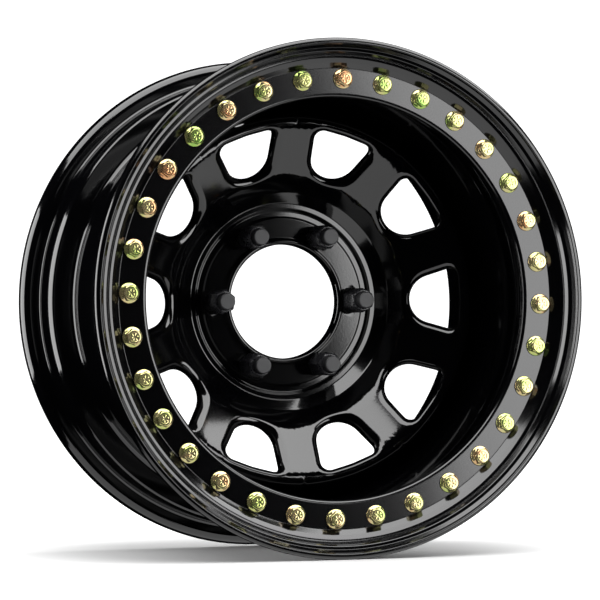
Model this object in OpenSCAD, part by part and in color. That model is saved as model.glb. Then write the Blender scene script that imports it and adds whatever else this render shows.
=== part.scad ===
// Steel beadlock wheel with ten D windows, 17 x 9 in, 6 x 139.7 mm.
// The profiles are drawn as [radius, station] with stations measured outward
// from the hub face, and each profile is revolved about the axle.

/* [Rim] */
// Diameter of the tyre's bead seats at the flanges
bead_seat_d = 436.6; // [420:0.2:450]
// Distance between the two flange faces that the tyre sits against
rim_w = 228.6; // [200:0.2:250]
// Height of the rear flange above its bead seat
flange_h = 17.5; // [15:0.1:20]
// Thickness of the rolled barrel
barrel_t = 4.2; // [3.4:0.1:5]
// Depth of the drop centre below the bead seats
well_depth = 24.3; // [21:0.1:27]
// Distance from the rim's centre plane back to the hub face
backset = 42.7; // [36:0.1:50]
// Diameter of the hole for the tyre valve
valve_hole_d = 11.5; // [10:0.1:13]

/* [Beadlock rings] */
// Distance from the bead seat in to the circle of clamp bolts
clamp_inset = 17; // [15.5:0.1:19]
// Number of clamp bolts
clamp_count = 32; // [24:1:36]
// Thickness of the clamp ring's bolting land
clamp_t = 6.4; // [5.5:0.1:7]
// Thickness of the weld-in inner ring
inner_ring_t = 6.4; // [5.5:0.1:7]
// Width of the bolting land from the bolt circle in to its edge
land_in_w = 17.1; // [15:0.1:19]
// Width of the bolting land from the bolt circle out to its edge
land_out_w = 9.6; // [8.8:0.1:11]
// Width of the clamp ring's lip outside the land
lip_w = 26.6; // [24:0.1:29]
// Distance that the lip stands in front of the land
lip_rise = 17.2; // [15:0.2:19]

/* [Clamp bolts] */
// Diameter of the clamp bolt's shank
bolt_d = 7.9; // [7:0.1:9]
// Size of the bolt head across its flats
bolt_hex = 12.8; // [12:0.1:13.5]
// Height of the bolt head with its flange
bolt_head_h = 7; // [6.5:0.1:8]
// Height of the clamp nut
clamp_nut_h = 6.8; // [6:0.1:8]

/* [Centre disc] */
// Thickness of the pressed disc
disc_t = 6.5; // [6:0.1:7.5]
// Diameter of the hub bore
bore_d = 108.6; // [104:0.1:112]
// Height of the lip around the hub bore above the lug land
bore_lip_h = 5.6; // [4:0.1:7]
// Distance from the barrel's wall in to the disc's crest
crest_inset = 18.8; // [17:0.1:21]
// Distance from the hub face to the crest
crest_h = 61; // [56:0.5:66]
// Number of windows
window_count = 10; // [8:1:10]
// Width of a window at its outer edge, between the corners before they are rounded
window_w = 62.4; // [54:0.4:64]
// Share of the cone's width that the windows take
window_share = 0.49; // [0.44:0.002:0.5]
// Depth that the windows' edges are turned back behind the disc
window_turn = 3; // [2:0.5:4]

/* [Lugs] */
// Diameter of the lug circle
lug_pcd = 139.7; // [137:0.1:142]
// Number of lug studs
lug_count = 6; // [5:1:6]
// Diameter of the lug studs
stud_d = 15.8; // [14:0.1:16]
// Length of stud that stands in front of its nut
stud_proud = 8; // [6:0.5:10]
// Diameter of the studs' rear ends, which screw into the hub
stud_back_d = 14; // [12:0.1:14]
// Length of stud that stands behind the hub face
stud_back = 22; // [16:0.5:30]
// Size of the lug nuts across their flats
lug_hex = 20.6; // [19:0.1:21.5]
// Distance from the hub face to the lug nuts' front faces
lug_front = 39; // [34:0.5:42]

/* [Hidden] */
$fn = 96;

// Steps in one rounded corner
corner_steps = 6;
// Gap between parts that slide into each other before they are welded
weld_gap = 0.05;
// Gap round a bolt in its clearance hole, and round a stud in its hole
bolt_gap = 0.3;
stud_gap = 0.5;
// Gap between a thread and its nut
thread_gap = 0.05;
// Gap between a bolt's flange and the edge of the land
flange_gap = 0.3;

// Stations along the axle
rear_face = backset - rim_w / 2;
front_face = backset + rim_w / 2;
land_front = front_face - 1.9;
land_back = land_front - clamp_t;
ring_back = land_back - inner_ring_t;

// Rim radii
seat_r = bead_seat_d / 2;
rear_r = seat_r + flange_h;
well_r = seat_r - well_depth;
well_in_r = well_r - barrel_t;
// Radius that a flange is rolled to, behind the tyre's bead
flange_bend = 9.5;

// Widths along the barrel: a bead seat, a safety hump, the stretch from the seat to the drop centre,
// the drop centre and the step in front of it
seat_w = 0.09 * rim_w;
hump_w = 0.05 * rim_w;
fall_w = seat_w + hump_w + 2;
well_w = 0.44 * rim_w;
step_w = 0.06 * rim_w;
// Width of the rear flange's lip behind its face
lip_back_w = 16;
// Rise of a safety hump, and of the step, above the surface beside it
hump_rise = 2.1;
step_rise = well_depth / 3;

// Clamp ring radii
clamp_r = seat_r - clamp_inset;
land_in_r = clamp_r - land_in_w;
land_out_r = clamp_r + land_out_w;
lip_r = land_out_r + lip_w;
bolt_flange_d = 2 * (land_out_w - flange_gap);

// Hub radii
bore_r = bore_d / 2;
lug_r = lug_pcd / 2;

// Disc surface: the lug land, a groove and bead round it, and the cone from its foot to its crest
skirt_r = well_in_r - weld_gap;
skirt_top = 32;
skirt_bend = 18;
crest_r = skirt_r - crest_inset;
pad_front = 7;
pad_out_r = lug_r + 9.65;
groove_r = pad_out_r + 1.6;
bead_r = pad_out_r + 9.2;
cone_w = crest_r - bead_r;
// Rise of the cone for each millimetre of radius
cone_rise = 0.615;
slope = atan(cone_rise);
window_h = window_share * cone_w / cos(slope);
window_out_r = crest_r - 0.124 * cone_w;
window_in_r = window_out_r - window_h * cos(slope);
knee_r = window_in_r - 2.4;
foot_r = (bead_r + 5 + knee_r) / 2 - 1.35;
foot_h = 15;
function cone_h(r) = crest_h - (crest_r - r) * cone_rise;

// Directions, in degrees from +X: the first clamp bolt, window and lug, and the tyre valve
clamp_first = -1.4;
window_first = 0.8;
lug_first = 0.6;
valve_at = 108;

// Corner rounding: each point is [x, y, radius], and the path is open
function unit(v) = v / norm(v);
function arc_steps(a, p, b) =
    let (u = unit([a[0] - p[0], a[1] - p[1]]),
         v = unit([b[0] - p[0], b[1] - p[1]]),
         half = acos(max(-1, min(1, u * v))) / 2,
         reach = p[2] / tan(half),
         mid = unit(u + v),
         c = [p[0], p[1]] + mid * p[2] / sin(half),
         s = [p[0], p[1]] + u * reach - c,
         e = [p[0], p[1]] + v * reach - c,
         a0 = atan2(s[1], s[0]),
         turn = (atan2(e[1], e[0]) - a0 + 540) % 360 - 180)
    [for (i = [0:corner_steps])
        c + p[2] * [cos(a0 + turn * i / corner_steps), sin(a0 + turn * i / corner_steps)]];
function rounded(path) =
    [for (i = [0:len(path) - 1])
        each (i == 0 || i == len(path) - 1 || path[i][2] == 0
            ? [[path[i][0], path[i][1]]]
            : arc_steps(path[i - 1], path[i], path[i + 1]))];
function rounded_loop(path) =
    let (n = len(path))
    [for (i = [0:n - 1])
        each (path[i][2] == 0
            ? [[path[i][0], path[i][1]]]
            : arc_steps(path[(i + n - 1) % n], path[i], path[(i + 1) % n]))];

// A sheet of even thickness: the path, and the path moved to its right
function side_of(path, i) =
    let (a = path[max(i - 1, 0)], b = path[i], c = path[min(i + 1, len(path) - 1)],
         u = unit(i == 0 ? c - b : b - a),
         v = unit(i == len(path) - 1 ? b - a : c - b),
         m = unit(u + v))
    [m[1], -m[0]] / (m * u);
function moved(path, t) = [for (i = [0:len(path) - 1]) path[i] + t * side_of(path, i)];
function turned(path) = [for (i = [len(path) - 1:-1:0]) path[i]];
function sheet(path, t) = concat(path, turned(moved(path, t)));

// Puts a revolved profile on the wheel's axle, with its front towards -Y
module on_axle() {
    rotate([90, 0, 0])
        children();
}

module around(count, first = 0) {
    for (i = [0:count - 1])
        rotate([0, 0, first + i * 360 / count])
            children();
}

// Barrel, drawn from the rear flange's tip to the front bead seat
well_start = rear_face + fall_w;
well_end = well_start + well_w;
front_hump = ring_back - hump_w - 6.6;
step_end = front_hump - hump_w - 6.6;
step_start = step_end - step_w;
valve_station = (skirt_top + well_end) / 2;
barrel_path = rounded([
    [rear_r - 6.3, rear_face - lip_back_w, 0],
    [rear_r, rear_face - lip_back_w, 5.4],
    [rear_r, rear_face, flange_bend],
    [seat_r, rear_face, 3],
    [seat_r - hump_rise, rear_face + seat_w, 2.5],
    [seat_r, rear_face + seat_w + hump_w / 2, 4.5],
    [seat_r - 3.5, rear_face + seat_w + hump_w, 3],
    [well_r, well_start, 6],
    [well_r, well_end, 30],
    [well_r + step_rise, step_start, 25],
    [well_r + step_rise, step_end, 10],
    [seat_r - 3.5, front_hump - hump_w / 2, 5],
    [seat_r, front_hump, 4.5],
    [seat_r - hump_rise, front_hump + hump_w / 2, 3],
    [seat_r, ring_back - 2, 20],
    [seat_r, land_back, 0]]);

module rim_barrel() {
    color([0.03, 0.03, 0.035])
        on_axle()
            difference() {
                rotate_extrude($fn = 180)
                    polygon(sheet(barrel_path, -barrel_t));
                rotate([0, 0, valve_at])
                    translate([well_r, 0, valve_station])
                        rotate([0, 90, 0])
                            cylinder(d = valve_hole_d, h = 40, center = true, $fn = 48);
            }
}

// Disc, drawn along its front from the lug land to the skirt in the barrel
lip_round = 2.9;
lip_top = pad_front + bore_lip_h;
lip_foot = 1;
disc_path = rounded([
    [bore_r + lip_round, pad_front, 0],
    [pad_out_r, pad_front, 0.8],
    [groove_r, pad_front - 2.6, 1.2],
    [bead_r - 2.2, pad_front - 2.2, 1.5],
    [bead_r, pad_front + 1.2, 0.9],
    [bead_r + 5, pad_front + 1.6, 2],
    [foot_r, foot_h, 8],
    [knee_r, cone_h(knee_r), 22],
    [crest_r, crest_h, 9],
    [skirt_r - 4.5, skirt_top, 14],
    [skirt_r, skirt_bend, 10],
    [skirt_r, 0, 0]]);

module disc_section() {
    lip_r = bore_r + 2 * lip_round;
    polygon(sheet(disc_path, disc_t));
    square_from([bore_r, 0], [pad_out_r - 3, pad_front]);
    square_from([bore_r, 0], [lip_r, lip_top - lip_round]);
    translate([bore_r + lip_round, lip_top - lip_round])
        circle(r = lip_round, $fn = 32);
    difference() {
        square_from([bore_r, pad_front - 1], [lip_r + lip_foot, pad_front + lip_foot]);
        translate([lip_r + lip_foot, pad_front + lip_foot])
            circle(r = lip_foot, $fn = 24);
    }
}

module square_from(a, b) {
    translate(a)
        square(b - a);
}

// Window outline in the cone's own plane, from the middle of its outer edge in towards the hub
// Amount that each side leans in, that the outer edge is bowed, and the outline's corner radii
window_taper = 0.2244 * window_w;
window_bow = 1.4;
window_bow_bend = 60;
window_out_bend = 0.17 * window_h;
window_in_bend = 1.34 * (window_w / 2 - window_taper);
function window_loop(grow = 0) =
    let (outer = window_w / 2 + grow, inner = outer - window_taper, low = -window_h - grow)
    rounded_loop([
        [grow, 0, window_bow_bend],
        [grow - window_bow, outer, window_out_bend + grow],
        [low, inner, window_in_bend + grow],
        [low, -inner, window_in_bend + grow],
        [grow - window_bow, -outer, window_out_bend + grow]]);

// Each window is pressed square to the cone, so its walls lean away from the axle
module at_windows() {
    around(window_count, window_first)
        translate([window_out_r, 0, cone_h(window_out_r)])
            rotate([0, -slope, 0])
                children();
}

// Edges that are turned back behind the disc around each window
turned_t = 4;
module turned_edges() {
    at_windows()
        translate([0, 0, -disc_t - window_turn])
            linear_extrude(height = window_turn + disc_t / 2)
                polygon(window_loop(turned_t));
}

module windows() {
    at_windows()
        translate([0, 0, -disc_t - window_turn - 1])
            linear_extrude(height = disc_t + window_turn + 8)
                polygon(window_loop());
}

// Stud hole with the conical seat that centres a lug nut
seat_foot = 4.7;
seat_slope = tan(30);
stud_hole_d = stud_d + 2 * stud_gap;
module lug_seat() {
    translate([lug_r, 0, -1])
        cylinder(d = stud_hole_d, h = pad_front + 2, $fn = 48);
    translate([lug_r, 0, seat_foot])
        cylinder(d1 = stud_hole_d, d2 = stud_hole_d + 2 * seat_slope * 4, h = 4, $fn = 48);
}

module centre_disc() {
    color([0.035, 0.035, 0.04])
        on_axle()
            difference() {
                union() {
                    rotate_extrude($fn = 180)
                        disc_section();
                    turned_edges();
                }
                windows();
                around(lug_count, lug_first)
                    lug_seat();
            }
}

// Inner ring, welded into the mouth of the barrel
ring_out_r = seat_r - barrel_t - weld_gap;

module inner_ring() {
    color([0.03, 0.03, 0.035])
        on_axle()
            difference() {
                rotate_extrude($fn = 180)
                    polygon(rounded_loop([
                        [land_in_r + 0.6, ring_back, 2],
                        [ring_out_r, ring_back, 0],
                        [ring_out_r, land_back, 0],
                        [land_in_r + 0.6, land_back, 1.2]]));
                around(clamp_count, clamp_first)
                    translate([clamp_r, 0, ring_back - 1])
                        cylinder(d = bolt_d + 2 * bolt_gap, h = inner_ring_t + 2, $fn = 32);
            }
}

// Clamp ring: the bolting land, two ridges and the outer lip
lip_front = land_front + lip_rise;
function on_lip(across, up, bend) = [land_out_r + across * lip_w, land_front + up * lip_rise, bend];
clamp_loop = rounded_loop([
    [land_in_r, land_back, 1],
    [land_in_r, land_front, 3.4],
    [land_out_r, land_front, 0.8],
    on_lip(0.17, 0.25, 1.5),
    on_lip(0.33, 0.44, 5),
    on_lip(0.42, 0.46, 0.6),
    on_lip(0.45, 0.42, 0.3),
    on_lip(0.55, 0.64, 1.6),
    on_lip(0.66, 0.69, 0.8),
    on_lip(0.76, 0.88, 1.2),
    on_lip(0.81, 1, 1),
    on_lip(1, 1, 3.8),
    [lip_r, front_face, flange_bend],
    [land_out_r + 0.4 * lip_w, front_face, 4],
    [land_out_r + 2.4, land_back, 0]]);

module clamp_ring() {
    color([0.04, 0.04, 0.045])
        on_axle()
            difference() {
                rotate_extrude($fn = 180)
                    polygon(clamp_loop);
                around(clamp_count, clamp_first)
                    translate([clamp_r, 0, land_back - 1])
                        cylinder(d = bolt_d + 2 * bolt_gap, h = clamp_t + 2, $fn = 32);
            }
}

// Flange bolt with a chamfered hexagon and a round recess in its head
bolt_end = ring_back - clamp_nut_h - 3;
bolt_flange_t = 1.3;
module clamp_bolt() {
    difference() {
        union() {
            translate([0, 0, bolt_end])
                cylinder(d = bolt_d, h = land_front - bolt_end + 1, $fn = 32);
            translate([0, 0, land_front])
                cylinder(d = bolt_flange_d, h = bolt_flange_t, $fn = 48);
            translate([0, 0, land_front + bolt_flange_t])
                cylinder(d1 = bolt_flange_d - 1, d2 = bolt_hex, h = 1.2, $fn = 48);
            translate([0, 0, land_front + 1])
                intersection() {
                    cylinder(d = bolt_hex / cos(30), h = bolt_head_h - 1, $fn = 6);
                    cylinder(d1 = bolt_hex + 16, d2 = bolt_hex - 0.6, h = bolt_head_h - 1, $fn = 48);
                }
        }
        translate([0, 0, land_front + bolt_head_h - 0.7])
            cylinder(d = bolt_hex * 0.66, h = 2, $fn = 32);
    }
}

// Each bolt stops at its own angle
module clamp_bolts() {
    color([0.78, 0.72, 0.42])
        on_axle()
            for (i = [0:clamp_count - 1])
                rotate([0, 0, clamp_first + i * 360 / clamp_count])
                    translate([clamp_r, 0, 0])
                        rotate([0, 0, (i * 23) % 60])
                            clamp_bolt();
}

module clamp_nuts() {
    color([0.7, 0.65, 0.4])
        on_axle()
            around(clamp_count, clamp_first)
                translate([clamp_r, 0, ring_back - clamp_nut_h])
                    difference() {
                        rotate([0, 0, 30])
                            cylinder(d = bolt_hex / cos(30), h = clamp_nut_h, $fn = 6);
                        translate([0, 0, -1])
                            cylinder(d = bolt_d + 2 * thread_gap, h = clamp_nut_h + 2, $fn = 32);
                    }
}

// Stud with a sloping shoulder at the hub face and chamfered ends
stud_chamfer = 0.9;
stud_shoulder = 1.5;
stud_front = lug_front + stud_proud;
module lug_stud() {
    cylinder(d = stud_d, h = stud_front - stud_chamfer, $fn = 48);
    translate([0, 0, stud_front - stud_chamfer])
        cylinder(d1 = stud_d, d2 = stud_d - 2 * stud_chamfer, h = stud_chamfer, $fn = 48);
    translate([0, 0, -stud_shoulder])
        cylinder(d1 = stud_back_d, d2 = stud_d, h = stud_shoulder, $fn = 48);
    translate([0, 0, stud_chamfer - stud_back])
        cylinder(d = stud_back_d, h = stud_back - stud_chamfer - stud_shoulder, $fn = 48);
    translate([0, 0, -stud_back])
        cylinder(d1 = stud_back_d - 2 * stud_chamfer, d2 = stud_back_d, h = stud_chamfer, $fn = 48);
}

module lug_studs() {
    color([0.1, 0.1, 0.11])
        on_axle()
            around(lug_count, lug_first)
                translate([lug_r, 0, 0])
                    lug_stud();
}

// Hex nut with a conical seat and a chamfered front face
lug_cone_h = (lug_hex - stud_hole_d) / 2 / seat_slope;
lug_hex_foot = seat_foot + lug_cone_h;
module lug_nut() {
    difference() {
        union() {
            translate([0, 0, lug_hex_foot])
                intersection() {
                    cylinder(d = lug_hex / cos(30), h = lug_front - lug_hex_foot, $fn = 6);
                    cylinder(d1 = lug_hex + 60, d2 = lug_hex - 0.4, h = lug_front - lug_hex_foot, $fn = 48);
                }
            translate([0, 0, seat_foot])
                cylinder(d1 = stud_hole_d, d2 = lug_hex, h = lug_cone_h, $fn = 48);
        }
        translate([0, 0, -1])
            cylinder(d = stud_d + 2 * thread_gap, h = lug_front + 2, $fn = 48);
    }
}

// The first nut has a flat towards the axle, and each of the others its own angle
module lug_nuts() {
    color([0.12, 0.12, 0.13])
        on_axle()
            for (i = [0:lug_count - 1])
                rotate([0, 0, lug_first + i * 360 / lug_count])
                    translate([lug_r, 0, 0])
                        rotate([0, 0, 30 + (i * 17) % 60])
                            lug_nut();
}

rim_barrel();
centre_disc();
inner_ring();
clamp_ring();
clamp_bolts();
clamp_nuts();
lug_studs();
lug_nuts();
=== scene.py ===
import bmesh
import bpy
import numpy as np
from mathutils import Matrix, Vector


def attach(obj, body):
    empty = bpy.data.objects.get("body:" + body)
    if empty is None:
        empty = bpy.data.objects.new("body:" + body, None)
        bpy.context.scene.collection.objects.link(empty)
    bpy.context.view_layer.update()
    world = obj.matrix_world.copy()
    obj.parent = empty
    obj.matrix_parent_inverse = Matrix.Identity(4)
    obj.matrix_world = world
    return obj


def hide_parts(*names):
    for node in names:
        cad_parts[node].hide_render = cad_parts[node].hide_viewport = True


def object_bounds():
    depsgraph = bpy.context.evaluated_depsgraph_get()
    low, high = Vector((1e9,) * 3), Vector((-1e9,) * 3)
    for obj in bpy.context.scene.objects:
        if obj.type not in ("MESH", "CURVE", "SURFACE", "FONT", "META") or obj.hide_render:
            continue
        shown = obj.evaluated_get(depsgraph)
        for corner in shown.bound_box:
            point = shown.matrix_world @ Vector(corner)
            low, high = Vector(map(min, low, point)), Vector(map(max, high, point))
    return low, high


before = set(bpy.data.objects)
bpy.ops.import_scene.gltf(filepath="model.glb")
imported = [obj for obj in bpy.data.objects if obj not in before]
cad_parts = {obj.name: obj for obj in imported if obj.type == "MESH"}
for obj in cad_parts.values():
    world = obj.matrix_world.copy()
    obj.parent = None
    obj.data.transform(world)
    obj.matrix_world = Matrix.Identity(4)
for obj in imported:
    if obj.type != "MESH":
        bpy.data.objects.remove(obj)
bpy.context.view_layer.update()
print("frame loaded")

# Shapes are in millimetres until a mesh is made, and the stage is in metres. Profiles are
# [radius, station, corner radius], with stations measured outward from the hub face, turned about the axle.


def cornerArc(before, corner, after, radius, steps):
    # an arc that touches both sides of the corner, from the side that comes in to the side that goes out
    comeIn = (before - corner) / np.linalg.norm(before - corner)
    goOut = (after - corner) / np.linalg.norm(after - corner)
    half = np.arccos(np.clip(comeIn @ goOut, -1, 1)) / 2
    middle = comeIn + goOut
    centre = corner + middle / np.linalg.norm(middle) * radius / np.sin(half)
    start = corner + comeIn * radius / np.tan(half) - centre
    end = corner + goOut * radius / np.tan(half) - centre
    first = np.arctan2(start[1], start[0])
    turn = (np.arctan2(end[1], end[0]) - first + 3 * np.pi) % (2 * np.pi) - np.pi
    angles = first + turn * np.linspace(0, 1, steps + 1)
    return centre + radius * np.column_stack([np.cos(angles), np.sin(angles)])


def roundedPath(points, closed=False, steps=8):
    # the path with an arc in place of each corner that has a radius
    points = np.array(points, float)
    flat = points[:, :2]
    count = len(points)
    parts = []
    for i in range(count):
        isEnd = not closed and i in (0, count - 1)
        if isEnd or points[i, 2] == 0:
            parts.append(flat[i:i + 1])
        else:
            parts.append(cornerArc(flat[i - 1], flat[i], flat[(i + 1) % count], points[i, 2], steps))
    return np.vstack(parts)


def held(path):
    # two more points near the ends of each straight stretch, so that smooth shading leaves it flat
    reach = 0.35
    ahead = np.roll(path, -1, 0)
    length = np.linalg.norm(ahead - path, axis=1)[:, None]
    share = np.minimum(reach, length / 3) / np.maximum(length, 1e-9)
    near, far = path + (ahead - path) * share, ahead - (ahead - path) * share
    isLong = length[:, 0] > 4 * reach
    isLong[-1] = False
    keep = np.column_stack([np.ones(len(path), bool), isLong, isLong])
    return np.stack([path, near, far], 1)[keep]


def beside(path, distance):
    # the path moved sideways by the same distance everywhere
    ahead = np.diff(path, axis=0)
    ahead /= np.linalg.norm(ahead, axis=1)[:, None]
    before, after = np.vstack([ahead[:1], ahead]), np.vstack([ahead, ahead[-1:]])
    middle = before + after
    middle /= np.linalg.norm(middle, axis=1)[:, None]
    stretch = (middle * after).sum(1)[:, None]
    return path + distance * np.column_stack([middle[:, 1], -middle[:, 0]]) / stretch


def turnedSurface(profile, angles):
    # surface of revolution: row i, column j is the profile's point i at the angle of column j, so x is the
    # radius times the cosine and y the radius times the sine; angles may differ from row to row
    angles = np.broadcast_to(np.radians(angles), (len(profile), np.shape(angles)[-1]))
    radius, station = profile[:, :1], profile[:, 1:2]
    return gridPatch(np.stack([radius * np.cos(angles), radius * np.sin(angles), station + 0 * angles], 2))


def gridPatch(points):
    # quads between neighbouring rows and columns, closed across the last column
    rows, columns = points.shape[:2]
    index = np.arange(rows * columns).reshape(rows, columns)
    index = np.column_stack([index, index[:, :1]])
    quads = np.stack([index[:-1, :-1], index[:-1, 1:], index[1:, 1:], index[1:, :-1]], 2).reshape(-1, 4)
    return points.reshape(-1, 3), quads


def copiesRound(patch, angles):
    # the patch once at each angle round the axle
    points, quads = patch
    angles = np.radians(np.asarray(angles, float))[:, None]
    x, y, u = points.T
    turnedX = x * np.cos(angles) - y * np.sin(angles)
    turnedY = x * np.sin(angles) + y * np.cos(angles)
    allPoints = np.stack([turnedX, turnedY, np.broadcast_to(u, turnedX.shape)], 2).reshape(-1, 3)
    allQuads = (quads[None] + (np.arange(len(angles)) * len(points))[:, None, None]).reshape(-1, 4)
    return allPoints, allQuads


def sectorEdge(inner, outer, half, across, along):
    # the edge of one sector: outer arc, a side, inner arc and the other side, as one closed row of points
    spread = np.linspace(-half, half, across + 1)[:-1]
    fall, climb = np.linspace(outer, inner, along + 1)[:-1], np.linspace(inner, outer, along + 1)[:-1]
    turn = np.radians(np.concatenate([spread, np.full(along, half), -spread, np.full(along, -half)]))
    radius = np.concatenate([np.full(across, outer), fall, np.full(across, inner), climb])
    return np.column_stack([radius * np.cos(turn), radius * np.sin(turn)])


def between(first, last, rows):
    # rows that share out the straight way from each point of one closed row to the matching point of another
    share = np.linspace(0, 1, rows + 1)[:, None, None]
    return first[None] * (1 - share) + last[None] * share


def circleTowards(centre, radius, edge):
    # one point of a circle for each point of a sector's edge: mostly facing it, and partly spaced evenly
    facingShare, evenShare = 0.7, 0.3
    away = edge - centre
    facing = np.unwrap(np.arctan2(away[:, 1], away[:, 0]))
    evenly = facing[0] + np.sign(facing[-1] - facing[0]) * 2 * np.pi * np.arange(len(edge)) / len(edge)
    turn = facingShare * facing + evenShare * evenly
    return centre + radius * np.column_stack([np.cos(turn), np.sin(turn)])


def drilledFace(station, circle, edge, rows):
    # a flat face from a round hole's circle to the edge of its sector
    flat = between(circle, edge, rows)
    return np.dstack([flat, np.full(flat.shape[:2], station)])


def holeWall(centre, edge, steps):
    # steps are [radius, station] down the hole
    return np.stack([
        np.column_stack([circleTowards(centre, r, edge), np.full(len(edge), u)]) for r, u in steps])


def meshPiece(name, patches, smoothBelow=32):
    # joins the patches into one closed mesh in metres, with its faces outwards and creases above the angle
    starts = np.cumsum([0] + [len(patch[0]) for patch in patches])
    points = np.vstack([patch[0] for patch in patches])
    quads = np.vstack([patch[1] + start for patch, start in zip(patches, starts)])
    placed = np.column_stack([points[:, 0], -points[:, 2], points[:, 1]]) * 0.001
    mesh = bpy.data.meshes.new(name)
    mesh.from_pydata(placed, [], quads)
    work = bmesh.new()
    work.from_mesh(mesh)
    bmesh.ops.remove_doubles(work, verts=work.verts, dist=4e-6)
    bmesh.ops.dissolve_degenerate(work, edges=work.edges, dist=1e-7)
    bmesh.ops.recalc_face_normals(work, faces=work.faces)
    openEdges = sum(1 for edge in work.edges if not edge.is_manifold)
    work.to_mesh(mesh)
    work.free()
    mesh.polygons.foreach_set("use_smooth", np.ones(len(mesh.polygons), bool))
    mesh.set_sharp_from_angle(angle=np.radians(smoothBelow))
    piece = bpy.data.objects.new(name, mesh)
    bpy.context.scene.collection.objects.link(piece)
    print(name, len(mesh.polygons), "faces,", openEdges, "open edges")
    return piece


# Barrel

rim = {
    "seat": 218.3, "wall": 4.2, "well": 194.0, "step": 202.1, "front": 148.7, "mouth": 8.4,
    "rearFace": -71.6, "rearLip": 235.8, "flangeBend": 9.5, "lipBack": -87.6, "lipBend": 5.4, "lipTurn": 6.3,
    "rearHump": -45.31, "frontHump": 124.27, "humpHalf": 5.715, "humpFall": 2.1, "humpDip": 3.5,
    "wellStart": -37.6, "wellEnd": 62.99, "stepStart": 92.52, "stepEnd": 106.24,
    "valveAt": 108.0, "valveStation": 47.494, "valveRadius": 5.75, "valvePatch": 9.0,
    "columns": 224, "valveColumns": 8,
}


def barrelProfile():
    # outside of the barrel, from the turned edge of the rear flange to the mouth
    seat, back, lip, well, half = rim["seat"], rim["rearFace"], rim["rearLip"], rim["well"], rim["humpHalf"]
    rear, front = rim["rearHump"], rim["frontHump"]
    seatSide, wellSide = seat - rim["humpFall"], seat - rim["humpDip"]
    return roundedPath([
        [lip - rim["lipTurn"], rim["lipBack"], 0],
        [lip, rim["lipBack"], rim["lipBend"]],
        [lip, back, rim["flangeBend"]],
        [seat, back, 3],
        [seatSide, rear - half, 2.5],
        [seat, rear, 4.5],
        [wellSide, rear + half, 3],
        [well, rim["wellStart"], 6],
        [well, rim["wellEnd"], 30],
        [rim["step"], rim["stepStart"], 25],
        [rim["step"], rim["stepEnd"], 10],
        [wellSide, front - half, 5],
        [seat, front, 4.5],
        [seatSide, front + half, 3],
        [seat, rim["front"] - rim["mouth"], 20],
        [seat, rim["front"], 0]], steps=10)


def makeBarrel():
    outside = barrelProfile()
    inside = beside(outside, -rim["wall"])
    # the patch that the valve's hole is set in, on a straight stretch of both walls
    count = rim["valveColumns"]
    low, high = rim["valveStation"] - rim["valvePatch"], rim["valveStation"] + rim["valvePatch"]
    levels = np.linspace(low, high, count + 1)

    def withLevels(path):
        # the path with a point at each level, and the place of the first of them
        rising = path[30:]  # past the rear flange, where the stations only grow
        radiusThere = np.interp(levels, rising[:, 1], rising[:, 0])
        body = path[(path[:, 1] < low - 0.01) | (path[:, 1] > high + 0.01)]
        at = int(np.argmax(body[:, 1] > high))
        return np.vstack([body[:at], np.column_stack([radiusThere, levels]), body[at:]]), at

    outer, outerAt = withLevels(held(outside))
    inner, innerAt = withLevels(held(inside))
    inner = inner[::-1]
    innerAt = len(inner) - innerAt - len(levels)
    profile = np.vstack([outer, inner, outer[:1]])
    step = 360 / rim["columns"]
    half = step * count / 2
    degrees = rim["valveAt"] + step * np.arange(rim["columns"]) - half
    points, quads = turnedSurface(profile, degrees)
    rowOf, columnOf = np.divmod(np.arange(len(quads)), rim["columns"])

    def rowsFrom(first):
        return (rowOf >= first) & (rowOf < first + count)

    inPatch = (columnOf < count) & (rowsFrom(outerAt) | rowsFrom(len(outer) + innerAt))
    patches = [(points, quads[~inPatch])]
    # the hole's own patch, worked out on the unrolled wall and wrapped back round it
    spread = np.linspace(-half, half, count + 1)[:-1]
    edge = np.vstack([
        np.column_stack([spread, np.full(count, high)]),
        np.column_stack([np.full(count, half), levels[::-1][:-1]]),
        np.column_stack([-spread, np.full(count, low)]),
        np.column_stack([np.full(count, -half), levels[:-1]])])
    walls = []
    for radius in (rim["well"], rim["well"] - rim["wall"]):
        unrolled = edge * [np.radians(1) * radius, 1] - [0, rim["valveStation"]]
        rows = between(circleTowards(np.zeros(2), rim["valveRadius"], unrolled), unrolled, rows=4)
        turn = np.radians(rim["valveAt"]) + rows[..., 0] / radius
        walls.append(np.dstack([
            radius * np.cos(turn), radius * np.sin(turn), rows[..., 1] + rim["valveStation"]]))
    patches.append(gridPatch(np.vstack([walls[0][::-1], walls[1]])))
    return meshPiece("barrel", patches)


barrel = makeBarrel()

# Disc

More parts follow.
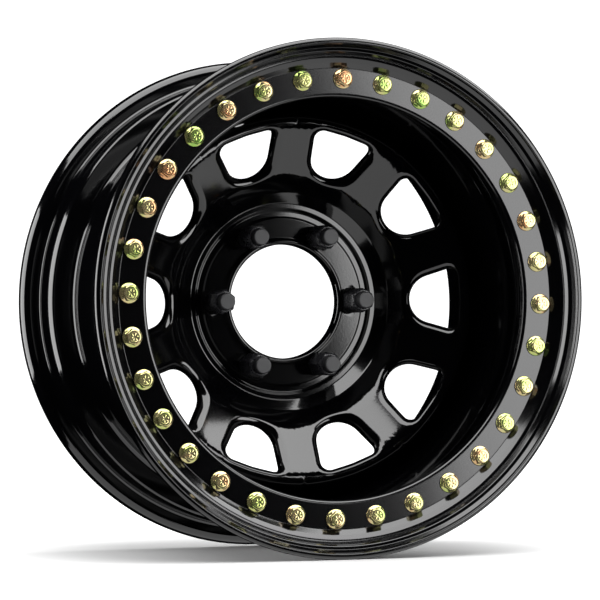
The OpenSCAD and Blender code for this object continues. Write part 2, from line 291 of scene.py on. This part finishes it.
disc = {
    "thick": 6.5, "bore": 54.3, "land": 7.0, "landEdge": 79.5, "lipRound": 2.9, "lipTop": 12.6,
    "groove": [[81.1, 4.7, 1.2], [86.5, 4.5, 1.5]],
    "bead": [[88.7, 8.5, 0.9], [93.7, 8.4, 2], [104.5, 15.0, 8]],
    "coneStart": 118, "rise": 0.565, "crest": 170.95, "crestUp": 59.8,
    # skirtFall is [how far short of the skirt's radius, station, corner radius]
    "skirt": 189.75, "skirtFall": [[4.5, 32, 14], [0, 18, 10]], "skirtBreak": 0.6,
    "windows": 10, "windowFirst": 0.8, "windowAt": 160.75, "windowHigh": 47.32, "windowWide": 62.4,
    "windowTaper": 14.0, "windowBow": 1.4, "bowBend": 60, "outerBend": 8.04, "innerBend": 23.05,
    "rollWide": 8.2, "rollDeep": 4.5, "collar": 2.2, "turnBack": 3.0, "lipRadius": 1.0,
    "windowShoulder": 6, "cellIn": 111.0, "cellOut": 175.0, "across": 24, "along": 14,
    "coneFrom": 90, "coneAbove": 6, "rearFrom": 82,
    "lugs": 6, "lugCircle": 69.85, "lugFirst": 0.6, "stud": 7.9, "studRoom": 0.5, "seatFoot": 4.7,
    "seatAngle": 30, "lugCellIn": 61.4, "lugCellOut": 78.6, "rearCellOut": 76.2, "lugAlong": 12,
    # rearLedge is [how far outside rearCellOut, station]
    "rearLedge": [[0.6, 0.1], [1.2, 0.5], [3.3, 0.5]], "boreBreak": 1.2,
}
# the cone's angle to a plane across the axle, and the slope of the nuts' seats
lean = np.arctan(disc["rise"])
seatSlope = np.tan(np.radians(disc["seatAngle"]))


def coneHeight(radius):
    return disc["crestUp"] - (disc["crest"] - radius) * disc["rise"]


def discFront():
    # front of the disc: bore lip, lug land, groove, bead, cone, crest and skirt
    lip, skirt = disc["bore"] + 2 * disc["lipRound"], disc["skirt"]
    return roundedPath([
        [lip, disc["lipTop"] - disc["lipRound"], 0],
        [lip, disc["land"], 1.0],
        [disc["landEdge"], disc["land"], 0.8],
        *disc["groove"],
        *disc["bead"],
        [disc["coneStart"], coneHeight(disc["coneStart"]), 22],
        [disc["crest"], disc["crestUp"], 9],
        *([skirt - short, station, bend] for short, station, bend in disc["skirtFall"]),
        [skirt, 0, 0]], steps=11)


def windowSides():
    # half the window's width at its outer and at its inner side
    return disc["windowWide"] / 2, disc["windowWide"] / 2 - disc["windowTaper"]


def windowOutline():
    # one window's outline in the cone's own plane: x outward from its outer edge, y round the wheel
    outer, inner = windowSides()
    low, bow = -disc["windowHigh"], -disc["windowBow"]
    return roundedPath([
        [0, 0, disc["bowBend"]],
        [bow, outer, disc["outerBend"]],
        [low, inner, disc["innerBend"]],
        [low, -inner, disc["innerBend"]],
        [bow, -outer, disc["outerBend"]]], closed=True, steps=32)


def squareToCone(flat, depth):
    # the point at a depth in front of the cone's plane, where minus is behind
    radius = disc["windowAt"] + flat[:, 0] * np.cos(lean) - depth * np.sin(lean)
    station = coneHeight(disc["windowAt"]) + flat[:, 0] * np.sin(lean) + depth * np.cos(lean)
    return np.column_stack([radius, flat[:, 1], station])


def onCone(flat, height, first):
    # places the outline's points on a surface of revolution: each moves square to the cone, part of
    # what it still misses at a time, until it meets the surface
    tries, part = 14, 0.6
    depth = np.full(len(flat), float(first))
    for k in range(tries):
        point = squareToCone(flat, depth)
        miss = height(np.linalg.norm(point[:, :2], axis=1)) - point[:, 2]
        depth = depth + part * miss * np.cos(lean)
    return squareToCone(flat, depth)


def alongOutline(path, corners, counts):
    # points along a closed outline, spaced evenly between the places nearest to the given corners,
    # and the way out of the outline at each
    reach = 0.2
    loop = np.vstack([path, path[:1]])
    length = np.concatenate([[0], np.cumsum(np.linalg.norm(np.diff(loop, axis=0), axis=1))])
    total = length[-1]
    near = np.array([length[np.argmin(np.linalg.norm(path - corner, axis=1))] for corner in corners])
    ends = np.roll(near, -1)
    ends = np.where(ends <= near, ends + total, ends)
    where = np.concatenate([np.linspace(a, b, n + 1)[:-1] for a, b, n in zip(near, ends, counts)]) % total

    def placeAt(distance):
        return np.column_stack([np.interp(distance % total, length, loop[:, k]) for k in (0, 1)])

    tangent = placeAt(where + reach) - placeAt(where - reach)
    tangent /= np.linalg.norm(tangent, axis=1)[:, None]
    return placeAt(where), np.column_stack([tangent[:, 1], -tangent[:, 0]])


def coneFace(path):
    # the station of the disc's face at any radius over the cone, for the front or the rear profile
    rising = path[(path[:, 0] > disc["coneFrom"]) & (path[:, 1] > disc["coneAbove"] - disc["thick"])]
    rising = rising[:int(np.argmax(rising[:, 0])) + 1]
    return lambda radius: np.interp(radius, rising[:, 0], rising[:, 1])


def lifted(flat, height):
    # the flat points raised to the face's height at their radius
    return np.dstack([flat, height(np.linalg.norm(flat, axis=-1))])


def windowSector(edge, frontHeight, rearHeight):
    # one sector of the cone with its window, from the sector's edge in front round to its edge behind
    outer, inner = windowSides()
    innerCorner = disc["windowShoulder"] - disc["windowHigh"]
    corners = [[0, -outer], [0, outer], [innerCorner, inner], [innerCorner, -inner]]
    loop, outward = alongOutline(windowOutline(), corners, [disc["across"], disc["along"]] * 2)
    square = np.array([-np.sin(lean), 0, np.cos(lean)])

    # front face from the sector's edge to where the rolled border starts
    rollStart = onCone(loop + outward * (disc["rollWide"] + 0.4), frontHeight, 0)
    rows = [lifted(between(edge, rollStart[:, :2], rows=7), frontHeight)]
    # rolled border: a quarter of an ellipse that starts level with the face and ends along the wall
    for bend in np.linspace(0, np.pi / 2, 10):
        top = onCone(loop + outward * disc["rollWide"] * (1 - np.sin(bend)), frontHeight, 0)
        rows.append((top - square * disc["rollDeep"] * (1 - np.cos(bend)))[None])
    # window wall, its rounded rear lip and the collar's outer side, as [way out, depth]
    end, lip, collar = -disc["thick"] - disc["turnBack"], disc["lipRadius"], disc["collar"]
    turn = np.linspace(0, np.pi / 2, 4)
    wall = [(0, end + lip + 0.3)]
    wall += [(lip * (1 - np.cos(a)), end + lip * (1 - np.sin(a))) for a in turn]
    wall += [(collar - lip * (1 - np.sin(a)), end + lip * (1 - np.cos(a))) for a in turn]
    rows += [squareToCone(loop + outward * out, np.full(len(loop), depth))[None] for out, depth in wall]
    rows.append((onCone(loop + outward * collar, rearHeight, -disc["thick"]) - 0.2 * square)[None])
    collarFoot = onCone(loop + outward * (collar + 0.3), rearHeight, -disc["thick"])
    rows.append(lifted(between(collarFoot[:, :2], edge, rows=5), rearHeight))
    return gridPatch(np.concatenate(rows))


def lugSector(half, across):
    # one sector of the lug land, with the nut's conical seat
    land, foot, along = disc["land"], disc["seatFoot"], disc["lugAlong"]
    centre = np.array([disc["lugCircle"], 0])
    hole = disc["stud"] + disc["studRoom"]
    seat = hole + seatSlope * (land - foot)
    edgeFront = sectorEdge(disc["lugCellIn"], disc["lugCellOut"], half, across, along)
    edgeRear = sectorEdge(disc["bore"] + disc["boreBreak"], disc["rearCellOut"], half, across, along)
    toFront = drilledFace(land, circleTowards(centre, seat + 0.4, edgeFront), edgeFront, rows=5)[::-1]
    down = holeWall(centre, edgeFront, [
        (seat + 0.12, land - 0.1), (seat - 0.1, land - 0.45), (hole + 0.05, foot), (hole, foot - 0.4),
        (hole, 0.4)])
    toRear = drilledFace(0, circleTowards(centre, hole + 0.4, edgeFront), edgeRear, rows=5)
    return gridPatch(np.concatenate([toFront, down, toRear]))


def makeDisc():
    front = discFront()
    rear = beside(front, disc["thick"])
    frontHeight, rearHeight = coneFace(front), coneFace(rear)
    half = 180 / disc["windows"]
    edge = sectorEdge(disc["cellIn"], disc["cellOut"], half, disc["across"], disc["along"])
    window = windowSector(edge, frontHeight, rearHeight)
    patches = [copiesRound(window, disc["windowFirst"] + 2 * half * np.arange(disc["windows"]))]

    # everything outside the windows: over the crest, down the skirt and back up its inner side
    cut, small = disc["cellOut"], disc["skirtBreak"]
    outer, inner = disc["skirt"], disc["skirt"] - disc["thick"]
    strip = np.vstack([
        [[cut, frontHeight(cut)]], front[int(np.argmax(front[:, 0] > cut)):-1],
        [[outer, small], [outer - small, 0], [inner + small, 0], [inner, small]],
        rear[int(np.argmax(rear[:, 0] > cut)):-1][::-1], [[cut, rearHeight(cut)]]])
    columns = disc["windows"] * disc["across"]
    evenly = -half + 360 / columns * np.arange(columns)
    patches.append(turnedSurface(held(strip), evenly + disc["windowFirst"]))

    # between the windows and the lug land: the columns turn a little to meet the lugs' own sectors
    cut, lugOut, rearOut = disc["cellIn"], disc["lugCellOut"], disc["rearCellOut"]
    turnFrom, turnTo = cut - 2, disc["coneFrom"]
    frontPart = front[(front[:, 0] > lugOut + 0.05) & (front[:, 0] < cut)]
    ledge = [[rearOut, 0]] + [[rearOut + out, station] for out, station in disc["rearLedge"]]
    rearPart = rear[(rear[:, 0] > disc["rearFrom"]) & (rear[:, 0] < cut)]
    paths = ([[lugOut, disc["land"]]], frontPart, frontHeight), (ledge, rearPart, rearHeight)
    for start, middle, height in paths:
        path = held(np.vstack([start, middle, [[cut, height(cut)]]]))
        share = np.clip((turnFrom - path[:, :1]) / (turnFrom - turnTo), 0, 1)
        turned = disc["windowFirst"] * (1 - share) + disc["lugFirst"] * share
        patches.append(turnedSurface(path, evenly + turned))

    # lug land: one sector round each stud
    lugHalf = 180 / disc["lugs"]
    lugAt = disc["lugFirst"] + 2 * lugHalf * np.arange(disc["lugs"])
    patches.append(copiesRound(lugSector(lugHalf, columns // disc["lugs"]), lugAt))

    # bore: rounded lip, wall and the break of its rear edge
    bore, bend, lugIn, small = disc["bore"], disc["lipRound"], disc["lugCellIn"], disc["boreBreak"]
    arc = np.radians(np.linspace(0, 180, 19))[:, None]
    overLip = np.array([bore + bend, disc["lipTop"] - bend]) + bend * np.hstack([np.cos(arc), np.sin(arc)])
    foot = front[front[:, 0] < lugIn]
    strip = np.vstack([
        [[lugIn, disc["land"]]], foot[::-1][:-1], overLip,
        [[bore, small], [bore + 0.35, 0.35], [bore + small, 0]]])
    patches.append(turnedSurface(held(strip), evenly + disc["lugFirst"]))
    return meshPiece("disc", patches)


centreDisc = makeDisc()

# Clamp ring and the inner ring that it is bolted to

ring = {
    "bolts": 32, "boltCircle": 201.3, "first": -1.4, "holeRadius": 4.25, "holeBreak": 0.3,
    "landIn": 184.2, "landOut": 210.9, "front": 155.1, "back": 148.7, "innerBack": 142.3,
    "lip": 237.5, "lipWide": 26.6, "lipRise": 17.2, "tyreFace": 157.0, "across": 14, "along": 12,
    # front of the lip from the land outward: share of its width, share of its rise, corner radius
    "ridges": [
        [0.17, 0.25, 1.5], [0.33, 0.44, 5], [0.42, 0.46, 0.6], [0.45, 0.42, 0.3], [0.55, 0.64, 1.6],
        [0.66, 0.69, 0.8], [0.76, 0.88, 1.2], [0.81, 1, 1], [1, 1, 3.8]],
}
# inner and outer radius of the drilled faces, where their edges' bends start
clampFront = (ring["landIn"] + 4, ring["landOut"] - 1.2)
clampBack = (ring["landIn"] + 1.6, ring["landOut"] + 1)
innerFaces = (ring["landIn"] + 3.2, rim["seat"] - rim["wall"] - 1.25)


def boltedRing(name, frontCell, backCell, frontAt, backAt, strips):
    # two drilled faces joined by the holes' walls, and the profile strips that close the ring
    half = 180 / ring["bolts"]
    hole, small = ring["holeRadius"], ring["holeBreak"]
    centre = np.array([ring["boltCircle"], 0])
    edgeFront, edgeBack = (
        sectorEdge(*cell, half, ring["across"], ring["along"]) for cell in (frontCell, backCell))
    mouth = circleTowards(centre, hole + small, edgeFront)
    wall = holeWall(centre, edgeFront, [(hole, frontAt - small), (hole, backAt + small)])
    sector = gridPatch(np.concatenate([
        drilledFace(frontAt, mouth, edgeFront, rows=4)[::-1], wall,
        drilledFace(backAt, mouth, edgeBack, rows=4)]))
    patches = [copiesRound(sector, ring["first"] + 2 * half * np.arange(ring["bolts"]))]
    columns = ring["bolts"] * ring["across"]
    evenly = ring["first"] - half + 360 / columns * np.arange(columns)
    patches += [turnedSurface(held(strip), evenly) for strip in strips]
    return meshPiece(name, patches)


def clampStrips():
    inner, out, front, back = ring["landIn"], ring["landOut"], ring["front"], ring["back"]
    wide, rise, tyreFace = ring["lipWide"], ring["lipRise"], ring["tyreFace"]
    return [
        roundedPath([
            [clampFront[1], front, 0],
            [out, front, 0.8],
            *([out + across * wide, front + up * rise, bend] for across, up, bend in ring["ridges"]),
            [ring["lip"], tyreFace, 9.5],
            [out + 0.4 * wide, tyreFace, 4],
            [out + 2.4, back, 1],
            [clampBack[1], back, 0]]),
        roundedPath([
            [clampBack[0], back, 0], [inner, back, 1], [inner, front, 3.4], [clampFront[0], front, 0]])]


def innerStrips():
    inner, outer = ring["landIn"] + 0.6, rim["seat"] - rim["wall"] - 0.05
    front, back = ring["back"], ring["innerBack"]
    fromInside, fromOutside = innerFaces
    return [
        roundedPath([
            [fromInside, back, 0], [inner, back, 2], [inner, front, 1.2], [fromInside, front, 0]]),
        roundedPath([
            [fromOutside, front, 0], [outer, front, 0.5], [outer, back, 0.5], [fromOutside, back, 0]])]


clampRing = boltedRing("clampRing", clampFront, clampBack, ring["front"], ring["back"], clampStrips())
innerRing = boltedRing("innerRing", innerFaces, innerFaces, ring["back"], ring["innerBack"], innerStrips())

# Fasteners: each is a surface whose radius depends on the angle round its own axis and on the row

bolt = {
    "shank": 3.95, "flange": 9.3, "flangeThick": 1.3, "across": 12.8, "head": 7.0, "faceEdge": 0.35,
    "recess": 4.22, "recessDeep": 0.7, "dashHeight": 0.12, "dashHalf": 11, "dashFade": 4,
    "beyondNut": 3.0, "nutHigh": 6.8, "firstSpin": 30, "spinStep": 23, "crease": 38,
}


def hexRadius(turn, across):
    # distance to the side of a hexagon with slightly rounded corners: a high power mean of its three pairs
    sides = np.radians(np.arange(0, 180, 60))[:, None]
    power = 40
    return across / 2 / (np.abs(np.cos(turn[None] - sides)) ** power).sum(0) ** (1 / power)


def hexTurns():
    # angles round the axis, closer together at the six corners
    one = np.array([-30, -28, -25.5, -22, -14, -5, 5, 14, 22, 25.5, 28])
    return np.radians((one[None] + 60 * np.arange(6)[:, None]).ravel())


def stacked(rows, turn):
    # rows of [radius, height], where either may vary with the angle; the first and last rows close on
    # the axis or on each other
    radius = np.stack([np.broadcast_to(r, turn.shape) for r, h in rows])
    height = np.stack([np.broadcast_to(h, turn.shape) for r, h in rows])
    return np.dstack([radius * np.cos(turn), radius * np.sin(turn), height])


def fastened(points, distance, angles, spins):
    # the fastener at the same distance from the axle at each angle, each turned about its own axis
    x, y, height = points[..., 0], points[..., 1], points[..., 2]
    patches = []
    for angle, spin in zip(angles, np.radians(spins)):
        turned = np.stack([
            x * np.cos(spin) - y * np.sin(spin), x * np.sin(spin) + y * np.cos(spin), height], -1)
        patches.append(copiesRound(gridPatch(turned + [distance, 0, 0]), [angle]))
    return patches


def clampBoltPoints():
    # a flange bolt: the recess with its six dashes, the chamfered hexagon, the sloping flange and the shank
    turn = hexTurns()
    side = hexRadius(turn, bolt["across"])
    base, flange, shank, recess = ring["front"], bolt["flange"], bolt["shank"], bolt["recess"]
    top, cone = base + bolt["head"], base + bolt["flangeThick"]
    end = ring["innerBack"] - bolt["nutHigh"] - bolt["beyondNut"]
    topEdge = bolt["across"] / 2 - bolt["faceEdge"]
    chamfer = top - (side - topEdge) * 0.6 - 0.1
    floor = top - bolt["recessDeep"]
    fromDash = np.abs((np.degrees(turn) + 30) % 60 - 30)
    dash = np.clip((bolt["dashHalf"] - fromDash) / bolt["dashFade"], 0, 1) * bolt["dashHeight"]
    return stacked([
        (0, floor), (1.2, floor), (1.6, floor + dash), (recess - 0.75, floor + dash), (recess - 0.4, floor),
        (recess - 0.2, floor), (recess, floor + 0.2), (recess, top - 0.15), (recess + 0.15, top),
        (topEdge - 0.2, top), (topEdge, top - 0.05), (side - 0.1, chamfer), (side, chamfer - 0.25),
        (side, cone + 1.7), (side + 0.12, cone + 1.35), (np.maximum(side + 0.5, 7.4), cone + 0.9),
        (flange - 0.9, cone + 0.4), (flange - 0.4, cone + 0.12), (flange - 0.1, cone - 0.12),
        (flange, cone - 0.45), (flange, base + 0.25), (flange - 0.25, base), (shank + 0.4, base),
        (shank, base - 0.4), (shank, end + 0.7), (shank - 0.7, end), (0, end)], turn)


def nutPoints(across, bore, low, high):
    # a hex nut with both ends chamfered and a chamfered bore, closed from the bore's foot round to itself
    turn = hexTurns()
    side = hexRadius(turn, across)
    edge, small = across / 2 - 0.4, 0.8
    drop = (side - edge) * 0.5 + 0.1
    return stacked([
        (bore, low + small), (bore + small, low), (edge - 0.3, low), (edge, low + 0.04),
        (side - 0.1, low + drop), (side, low + drop + 0.25), (side, high - drop - 0.25),
        (side - 0.1, high - drop), (edge, high - 0.04), (edge - 0.3, high), (bore + small, high),
        (bore, high - small), (bore, low + small)], turn)


boltAngles = ring["first"] + 360 / ring["bolts"] * np.arange(ring["bolts"])
boltSpins = bolt["firstSpin"] + (bolt["spinStep"] * np.arange(ring["bolts"])) % 60
clampBolts = meshPiece("clampBolts", fastened(
    clampBoltPoints(), ring["boltCircle"], boltAngles, boltSpins), bolt["crease"])
clampNuts = meshPiece("clampNuts", fastened(
    nutPoints(bolt["across"], bolt["shank"] + 0.05, ring["innerBack"] - bolt["nutHigh"], ring["innerBack"]),
    ring["boltCircle"], boltAngles, np.zeros(ring["bolts"])), bolt["crease"])

lug = {
    "across": 20.6, "front": 39.0, "studFront": 47.0, "studBack": 22.0, "rearRadius": 7.0, "chamfer": 0.9,
    "pitch": 1.5, "threadDeep": 0.6, "shoulder": -1.6, "columns": 40, "perPitch": 5, "spinStep": 17,
    "nutCrease": 38, "studCrease": 60,
}


def studPoints():
    # smooth in front, with a sloping shoulder at the hub face; behind it the radius falls and rises once
    # for each pitch along a helix
    turn = np.linspace(0, 2 * np.pi, lug["columns"], endpoint=False)
    low, high, shoulder = -lug["studBack"], lug["studFront"], lug["shoulder"]
    rear, stud, chamfer = lug["rearRadius"], disc["stud"], lug["chamfer"]
    height = np.arange(low + chamfer, shoulder - 0.2, lug["pitch"] / lug["perPitch"])
    phase = (height[:, None] / lug["pitch"] - turn[None] / (2 * np.pi)) % 1
    fade = np.clip(np.minimum(height - low - 1.2, 2 * shoulder - height) / 1.5, 0, 1)[:, None]
    radius = rear - fade * lug["threadDeep"] * (1 - np.abs(2 * phase - 1)) ** 1.5
    return stacked([
        (0, low), (rear - chamfer - 0.2, low), (rear - chamfer, low + 0.05), *zip(radius, height),
        (rear, shoulder), (rear + 0.03, shoulder + 0.13), (stud - 0.03, -0.03), (stud, 0.1), (stud, 0.6),
        (stud, high - chamfer - 0.5), (stud, high - chamfer - 0.1), (stud - 0.08, high - chamfer + 0.05),
        (stud - chamfer + 0.1, high - 0.08), (stud - chamfer - 0.1, high), (stud - chamfer - 0.5, high),
        (0, high)], turn)


def lugNutPoints():
    # an open hex nut: conical seat, hexagon chamfered at both ends and a straight bore
    turn = hexTurns()
    half, stud, foot, top = lug["across"] / 2, disc["stud"], disc["seatFoot"], lug["front"]
    side = hexRadius(turn, lug["across"])
    bore, seat, edge = stud + 0.05, stud + disc["studRoom"], half - 0.7
    hexFoot = foot + (half - seat) / seatSlope
    climb, drop = (side - half) * 0.5, (side - edge) * 0.5
    return stacked([
        (bore, foot + 0.3), (stud + 0.3, foot), (seat, foot + 0.02), (half - 0.1, hexFoot - 0.15),
        (np.minimum(side, half + 0.1), hexFoot + 0.05), (side - 0.1, hexFoot + 0.2 + climb),
        (side, hexFoot + 0.6 + climb), (side, top - 1.4 - drop), (side - 0.2, top - 1.0 - drop),
        (edge, top - 0.1), (edge - 0.4, top), (bore + 0.7, top), (bore, top - 0.6), (bore, foot + 0.3)], turn)


lugAngles = disc["lugFirst"] + 360 / disc["lugs"] * np.arange(disc["lugs"])
lugSpins = (lug["spinStep"] * np.arange(disc["lugs"])) % 60
lugStuds = meshPiece("lugStuds", fastened(
    studPoints(), disc["lugCircle"], lugAngles, np.zeros(disc["lugs"])), lug["studCrease"])
lugNuts = meshPiece("lugNuts", fastened(
    lugNutPoints(), disc["lugCircle"], lugAngles, lugSpins), lug["nutCrease"])
print("pieces made")

# Materials


class Link:
    # a socket that takes part in sums
    def __init__(self, finish, socket):
        self.finish, self.socket = finish, socket

    def sum(self, kind, a, b):
        return self.finish.add("ShaderNodeMath", {"operation": kind}, {0: a, 1: b})

    def __add__(self, other):
        return self.sum("ADD", self, other)

    def __radd__(self, other):
        return self.sum("ADD", other, self)

    def __mul__(self, other):
        return self.sum("MULTIPLY", self, other)

    def __rmul__(self, other):
        return self.sum("MULTIPLY", other, self)


class Finish:
    # a material, with one method for any node and short ones for those that come often
    def __init__(self, name):
        self.material = bpy.data.materials.new(name)
        self.material.use_nodes = True
        self.nodes, self.links = self.material.node_tree.nodes, self.material.node_tree.links
        self.shader = self.nodes["Principled BSDF"]
        self.place = self.add("ShaderNodeTexCoord", {}, {}, "Object")

    def add(self, kind, settings, values, output=0):
        node = self.nodes.new(kind)
        for key, value in settings.items():
            if key == "stops":
                ramp = node.color_ramp.elements
                while len(ramp) < len(value):
                    ramp.new(1)
                for stop, (position, colour) in zip(ramp, value):
                    stop.position, stop.color = position, colour
            else:
                setattr(node, key, value)
        for key, value in values.items():
            self.put(node.inputs[key], value)
        return Link(self, node.outputs[output])

    def put(self, socket, value):
        if isinstance(value, Link):
            self.links.new(value.socket, socket)
        else:
            socket.default_value = value

    def set(self, **values):
        for key, value in values.items():
            self.put(self.shader.inputs[key.replace("_", " ")], value)

    def noise(self, scale, detail):
        return self.add("ShaderNodeTexNoise", {}, {"Vector": self.place, "Scale": scale, "Detail": detail})

    def blend(self, share, first, second):
        return self.add("ShaderNodeMix", {"data_type": "RGBA"}, {0: share, 6: first, 7: second}, 2)

    def clouded(self, share, base):
        # the base colour, up to half as bright again where the share is high
        return self.blend(share, base, tuple(c * 1.5 for c in base[:3]) + (1,))

    def grain(self, height, strength):
        return self.add("ShaderNodeBump", {}, {"Height": height, "Strength": strength, "Distance": 0.0002})


paint = {"base": (0.0003, 0.0003, 0.0004, 1), "clouds": 9.0, "peel": 420.0, "deep": 0.03, "change": 0.03}
plating = {
    "drift": 26.0, "close": 160.0, "fine": 900.0, "deep": 0.03, "rough": 0.12, "change": 0.06,
    "metal": 0.88, "tints": [
        (0.34, (0.19, 0.31, 0.07, 1)), (0.44, (0.32, 0.34, 0.12, 1)), (0.54, (0.40, 0.34, 0.18, 1)),
        (0.64, (0.44, 0.23, 0.11, 1))],
}
steel = {"clouds": 40.0, "fine": 700.0, "deep": 0.15, "change": 0.1}


def glossBlack(name, rough):
    # sprayed gloss paint: a faint orange peel, and a slow change of gloss
    finish = Finish(name)
    slow, peel = finish.noise(paint["clouds"], 2.0), finish.noise(paint["peel"], 2.0)
    finish.set(Base_Color=finish.clouded(slow, paint["base"]), Roughness=rough + paint["change"] * slow,
               Normal=finish.grain(peel, paint["deep"]), IOR=1.5)
    return finish.material


def yellowZinc():
    # plated steel: a mirror under a pale film, which shifts from bolt to bolt between green, yellow and rose
    finish = Finish("yellowZinc")
    drift, close = finish.noise(plating["drift"], 1.0), finish.noise(plating["close"], 2.0)
    fine = finish.noise(plating["fine"], 3.0)
    tint = finish.add("ShaderNodeValToRGB", {"stops": plating["tints"]}, {"Fac": 0.7 * drift + 0.3 * close})
    finish.set(Base_Color=tint, Roughness=plating["rough"] + plating["change"] * fine,
               Normal=finish.grain(fine, plating["deep"]), Metallic=plating["metal"])
    return finish.material


def darkSteel(name, base, rough):
    # blackened steel: a satin black with a fine grain
    finish = Finish(name)
    slow, fine = finish.noise(steel["clouds"], 3.0), finish.noise(steel["fine"], 3.0)
    finish.set(Base_Color=finish.clouded(slow, base), Roughness=rough + steel["change"] * fine,
               Normal=finish.grain(fine, steel["deep"]))
    return finish.material


rimPaint = glossBlack("rimPaint", 0.06)
discPaint = glossBlack("discPaint", 0.06)
ringPaint = glossBlack("ringPaint", 0.10)
zinc = yellowZinc()
studSteel = darkSteel("studSteel", (0.008, 0.008, 0.009, 1), 0.36)
nutSteel = darkSteel("nutSteel", (0.006, 0.006, 0.007, 1), 0.22)

for piece, node, slotName, material in (
        (barrel, "rim_barrel", "rim_paint", rimPaint), (centreDisc, "centre_disc", "disc_paint", discPaint),
        (innerRing, "inner_ring", "rim_paint", rimPaint), (clampRing, "clamp_ring", "ring_paint", ringPaint),
        (clampBolts, "clamp_bolts", "yellow_zinc", zinc), (clampNuts, "clamp_nuts", "yellow_zinc", zinc),
        (lugStuds, "lug_studs", "stud_steel", studSteel), (lugNuts, "lug_nuts", "nut_steel", nutSteel)):
    piece.data.materials.append(material)
    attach(piece, "root")
    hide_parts(node)
print("pieces placed")

# Stage: a floor with a painted glow, white from a little way off the wheel, in a white room, and four soft
# lights.
# The floor and the room don't show in reflections, so the paint is black wherever it doesn't mirror a light.

studio = {
    "floorHalf": 9.0, "floorShade": 0.30, "floorRough": 0.9, "shadowReach": 0.16, "glowFullFrom": 0.46,
    "room": 1.3,
}


def makeFloor():
    # a flat square under the wheel with painted light: a white glow that shines evenly from a little way off
    # and fades out near the wheel, so that only the lamps' real shadow near the wheel is seen
    level, far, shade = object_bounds()[0][2], studio["floorHalf"], studio["floorShade"]
    mesh = bpy.data.meshes.new("floor")
    corners = [(-far, -far, level), (far, -far, level), (far, far, level), (-far, far, level)]
    mesh.from_pydata(corners, [], [(0, 1, 2, 3)])
    floor = bpy.data.objects.new("floor", mesh)
    bpy.context.scene.collection.objects.link(floor)
    finish = Finish("glowingFloor")
    onFloor = finish.add("ShaderNodeVectorMath", {"operation": "MULTIPLY"}, {0: finish.place, 1: (1, 1, 0)})
    away = finish.add("ShaderNodeVectorMath", {"operation": "LENGTH"}, {0: onFloor}, 1)
    # painted glow: none close to the wheel, rising smoothly to full white a little way off
    paintedGlow = finish.add("ShaderNodeMapRange", {"interpolation_type": "SMOOTHSTEP"}, {
        "Value": away, "From Min": studio["shadowReach"], "From Max": studio["glowFullFrom"]})
    finish.set(Base_Color=(shade, shade, shade, 1), Roughness=studio["floorRough"],
               # the emission is the painted glow, and the dark grey base colour takes the lamps' light and
               # real shadow
               Emission_Color=finish.blend(paintedGlow, (0, 0, 0, 1), (1, 1, 1, 1)), Emission_Strength=1.0)
    floor.data.materials.append(finish.material)
    floor.visible_glossy = False


def makeRoom():
    world = bpy.data.worlds.new("surroundings")
    bpy.context.scene.world = world
    world.use_nodes = True
    background = world.node_tree.nodes["Background"]
    background.inputs["Color"].default_value = (1, 1, 1, 1)
    background.inputs["Strength"].default_value = studio["room"]
    world.cycles_visibility.glossy = False
    bpy.context.scene.view_settings.view_transform = "Standard"


def softLight(name, place, target, size, glow, turn=0):
    # a rectangle that shines evenly with the given brightness, and shows in reflections
    light = bpy.data.lights.new(name, "AREA")
    light.shape, light.size, light.size_y = "RECTANGLE", size[0], size[1]
    light.energy = glow * np.pi * size[0] * size[1]
    lamp = bpy.data.objects.new(name, light)
    lamp.location = place
    facing = (Vector(target) - Vector(place)).to_track_quat("-Z", "Y").to_matrix()
    lamp.rotation_euler = (facing @ Matrix.Rotation(np.radians(turn), 3, "Z")).to_euler()
    bpy.context.scene.collection.objects.link(lamp)


def towards(azimuth, height, distance):
    # a place seen from the wheel: azimuth from straight ahead to the right and height above level, in degrees
    a, h = np.radians(azimuth), np.radians(height)
    return (distance * np.sin(a) * np.cos(h), -distance * np.cos(a) * np.cos(h), distance * np.sin(h))


makeFloor()
makeRoom()
softLight("rightCard", towards(43.5, 2, 3.0), target=(0, 0, 0), size=(2.3, 1.8), glow=6.5, turn=13)
softLight("topLight", (0.6, -0.9, 2.2), target=(0.6, -0.9, 0), size=(5.2, 3.0), glow=7.0)
softLight("lowPanel", (0.4, -0.5, -0.9), target=(0.4, -0.5, 0), size=(2.6, 1.5), glow=1.5)
softLight("leftCard", towards(-100, 4, 2.5), target=(0, 0, 0), size=(2.4, 2.4), glow=8.0)

# Camera, fitted to the outlines of the rim, the bolts and the studs in the photograph

view = {
    # the way the wheel's front points, as the camera sees it: right, up, towards it
    "axle": (0.3508, 0.0182, 0.9363),
    # where the studs' plane crosses the axle, from the camera
    "away": 3.1777, "right": -0.00222, "up": -0.00067,
    "reference": (0, -0.047, 0), "lens": 202.15, "sensor": 36.0,
}


def placeCamera():
    axle = Vector(view["axle"]).normalized()
    wheelRight = Vector((0, 1, 0)).cross(axle).normalized()
    wheelUp = axle.cross(wheelRight)
    right, up, back = (Vector((wheelRight[k], -axle[k], wheelUp[k])) for k in range(3))
    lens = bpy.data.cameras.new("camera")
    lens.lens, lens.sensor_width, lens.sensor_fit = view["lens"], view["sensor"], "HORIZONTAL"
    lens.clip_start, lens.clip_end = 0.05, 100
    camera = bpy.data.objects.new("camera", lens)
    place = Vector(view["reference"]) - right * view["right"] - up * view["up"] + back * view["away"]
    camera.matrix_world = Matrix.Translation(place) @ Matrix((right, up, back)).transposed().to_4x4()
    bpy.context.scene.collection.objects.link(camera)
    bpy.context.scene.camera = camera


placeCamera()
print("stage set")
